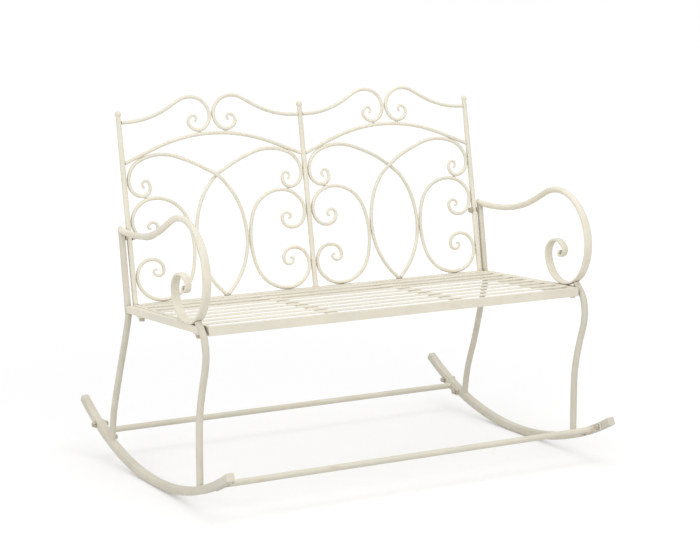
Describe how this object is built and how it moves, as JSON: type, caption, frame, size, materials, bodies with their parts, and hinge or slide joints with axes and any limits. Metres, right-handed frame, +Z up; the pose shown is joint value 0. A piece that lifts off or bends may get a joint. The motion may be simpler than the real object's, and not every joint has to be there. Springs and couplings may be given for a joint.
{
  "type": "bench",
  "caption": "Rocking bench of cream painted metal with curved rockers, a slatted seat, curled arms and a scrollwork back.",
  "frame": {"origin": "on the floor, under the middle of the bench's width and of its length", "axes": "+X across the bench to the right as seen from the front, +Y to the rear, +Z up"},
  "size_m": [1.1176, 0.8667, 0.9352],
  "materials": {
    "cream_paint": "satin",
    "steel_fasteners": "satin"
  },
  "bodies": {
    "root": {"left_rocker": "cream_paint", "left_arm": "cream_paint", "left_front_leg": "cream_paint", "left_rear_leg": "cream_paint", "left_front_stretcher_front_bolt": "steel_fasteners", "left_front_stretcher_rear_bolt": "steel_fasteners", "left_rear_stretcher_front_bolt": "steel_fasteners", "left_rear_stretcher_rear_bolt": "steel_fasteners", "left_back_bolt": "steel_fasteners", "left_back_spacer": "steel_fasteners", "right_rocker": "cream_paint", "right_arm": "cream_paint", "right_front_leg": "cream_paint", "right_rear_leg": "cream_paint", "right_front_stretcher_front_bolt": "steel_fasteners", "right_front_stretcher_rear_bolt": "steel_fasteners", "right_rear_stretcher_front_bolt": "steel_fasteners", "right_rear_stretcher_rear_bolt": "steel_fasteners", "right_back_bolt": "steel_fasteners", "right_back_spacer": "steel_fasteners", "seat_front_rail": "cream_paint", "seat_rear_rail": "cream_paint", "seat_slat_1": "cream_paint", "seat_slat_2": "cream_paint", "seat_slat_3": "cream_paint", "seat_slat_4": "cream_paint", "seat_slat_5": "cream_paint", "seat_slat_6": "cream_paint", "seat_slat_7": "cream_paint", "seat_slat_8": "cream_paint", "left_slat_support": "cream_paint", "left_seat_side_rail": "cream_paint", "left_frame_side_rail": "cream_paint", "left_front_seat_bolt": "steel_fasteners", "left_rear_seat_bolt": "steel_fasteners", "right_slat_support": "cream_paint", "right_seat_side_rail": "cream_paint", "right_frame_side_rail": "cream_paint", "right_front_seat_bolt": "steel_fasteners", "right_rear_seat_bolt": "steel_fasteners", "back_bottom_rail": "cream_paint", "left_bay_arch": "cream_paint", "left_bay_right_oval_scroll": "cream_paint", "left_bay_left_oval_scroll": "cream_paint", "left_bay_right_crest_scroll": "cream_paint", "left_bay_left_crest_scroll": "cream_paint", "left_bay_right_ogive_rod": "cream_paint", "left_bay_left_ogive_rod": "cream_paint", "right_bay_arch": "cream_paint", "right_bay_right_oval_scroll": "cream_paint", "right_bay_left_oval_scroll": "cream_paint", "right_bay_right_crest_scroll": "cream_paint", "right_bay_left_crest_scroll": "cream_paint", "right_bay_right_ogive_rod": "cream_paint", "right_bay_left_ogive_rod": "cream_paint", "back_post_middle": "cream_paint", "back_post_left": "cream_paint", "back_post_right": "cream_paint", "front_stretcher": "cream_paint", "rear_stretcher": "cream_paint"}
  },
  "joints": []
}
